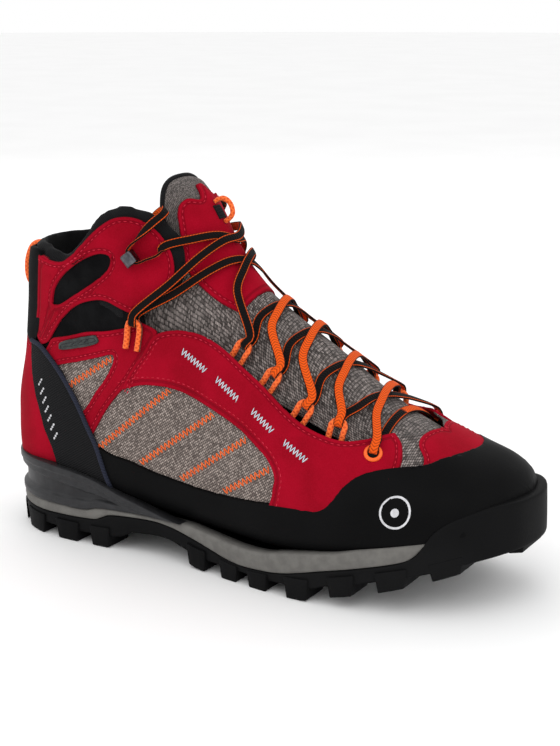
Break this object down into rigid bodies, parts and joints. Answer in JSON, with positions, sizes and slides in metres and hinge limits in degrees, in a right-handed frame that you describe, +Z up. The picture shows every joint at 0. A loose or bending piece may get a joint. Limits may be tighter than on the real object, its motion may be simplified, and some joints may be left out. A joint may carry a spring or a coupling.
{
  "type": "lace-up trekking boot",
  "caption": "Mid-height lace-up hiking boot for the right foot with a lugged sole, rubber toe rand, padded collar and a tongue that tilts.",
  "frame": {"origin": "on the ground under the middle of the boot", "axes": "+X points to the toe along the boot's length, +Y to the inner side of the foot, +Z up"},
  "size_m": [0.301, 0.108, 0.1979],
  "materials": {
    "suede": "deep red split leather with a fine nap",
    "woven_mesh": "coarse two-tone woven mesh",
    "tongue_mesh": "woven mesh over foam, black bound edge",
    "rand_rubber": "matte moulded rubber",
    "lugged_rubber": "matte moulded rubber",
    "midsole_foam": "matte foam",
    "moulded_cradle": "satin moulded plastic",
    "softshell": "fine black stretch fabric",
    "strap_webbing": "ribbed black webbing",
    "lining_textile": "quilted black lining",
    "collar_textile": "padded black stretch fabric",
    "orange_cord": "braided orange cord",
    "eyelet_metal": "painted orange",
    "hook_metal": "dark burnished",
    "lace_braid": "flat braid, black with orange edges",
    "label_plastic": "matte moulded",
    "lasting_board": "matte fibre board",
    "footbed_foam": "textile faced foam"
  },
  "bodies": {
    "boot": {"rubber_rand": "rand_rubber", "heel_panel": "suede", "heel_tab": "softshell", "toe_overlay": "suede", "heel_strap_lateral": "strap_webbing", "side_mesh_lateral": "woven_mesh", "rear_mesh_lateral": "woven_mesh", "vamp_mesh_lateral": "woven_mesh", "upper_insert_lateral": "softshell", "lower_insert_lateral": "softshell", "cuff_lateral": "suede", "quarter_lateral": "suede", "heel_strap_medial": "strap_webbing", "side_mesh_medial": "woven_mesh", "rear_mesh_medial": "woven_mesh", "vamp_mesh_medial": "woven_mesh", "upper_insert_medial": "softshell", "lower_insert_medial": "softshell", "cuff_medial": "suede", "quarter_medial": "suede", "vamp_lining": "lining_textile", "heel_lining": "lining_textile", "quarter_lining_lateral": "lining_textile", "quarter_lining_medial": "lining_textile", "lasting_board": "lasting_board", "footbed": "footbed_foam", "collar_pad": "collar_textile", "outsole": "lugged_rubber", "midsole": "midsole_foam", "heel_cradle": "moulded_cradle", "lace_loop_lateral_1": "orange_cord", "lace_loop_lateral_2": "orange_cord", "lace_loop_lateral_3": "orange_cord", "lace_loop_lateral_4": "orange_cord", "ankle_loop_lateral": "orange_cord", "eyelet_lateral": "eyelet_metal", "hook_lateral": "hook_metal", "hook_rivet_lateral": "hook_metal", "lace_loop_medial_1": "orange_cord", "lace_loop_medial_2": "orange_cord", "lace_loop_medial_3": "orange_cord", "lace_loop_medial_4": "orange_cord", "ankle_loop_medial": "orange_cord", "eyelet_medial": "eyelet_metal", "hook_medial": "hook_metal", "hook_rivet_medial": "hook_metal", "lace": "lace_braid", "side_label": "label_plastic"},
    "tongue": {"tongue_pad": "tongue_mesh", "tongue_overlay": "suede"},
    "tongue_loop": {"tongue_pull_loop": "orange_cord"},
    "heel_loop": {"heel_pull_loop": "orange_cord"}
  },
  "joints": [
    {"name": "tongue_tilt", "type": "hinge", "parent": "boot", "child": "tongue", "pos_m": [0.105, 0.0008, 0.0595], "axis": [0, 1, 0], "range_deg": [-12, 0], "stiffness_Nm_per_rad": 2, "springref_deg": 1.72},
    {"name": "tongue_loop_swing", "type": "hinge", "parent": "tongue", "child": "tongue_loop", "pos_m": [-0.02588, 0.0008, 0.17725], "axis": [-0.546, 0, 0.8378], "range_deg": [-25, 25], "stiffness_Nm_per_rad": 0.01},
    {"name": "heel_loop_swing", "type": "hinge", "parent": "boot", "child": "heel_loop", "pos_m": [-0.13814, 0.0008, 0.14378], "axis": [0.2444, 0, 0.9697], "range_deg": [-25, 25], "stiffness_Nm_per_rad": 0.01}
  ]
}
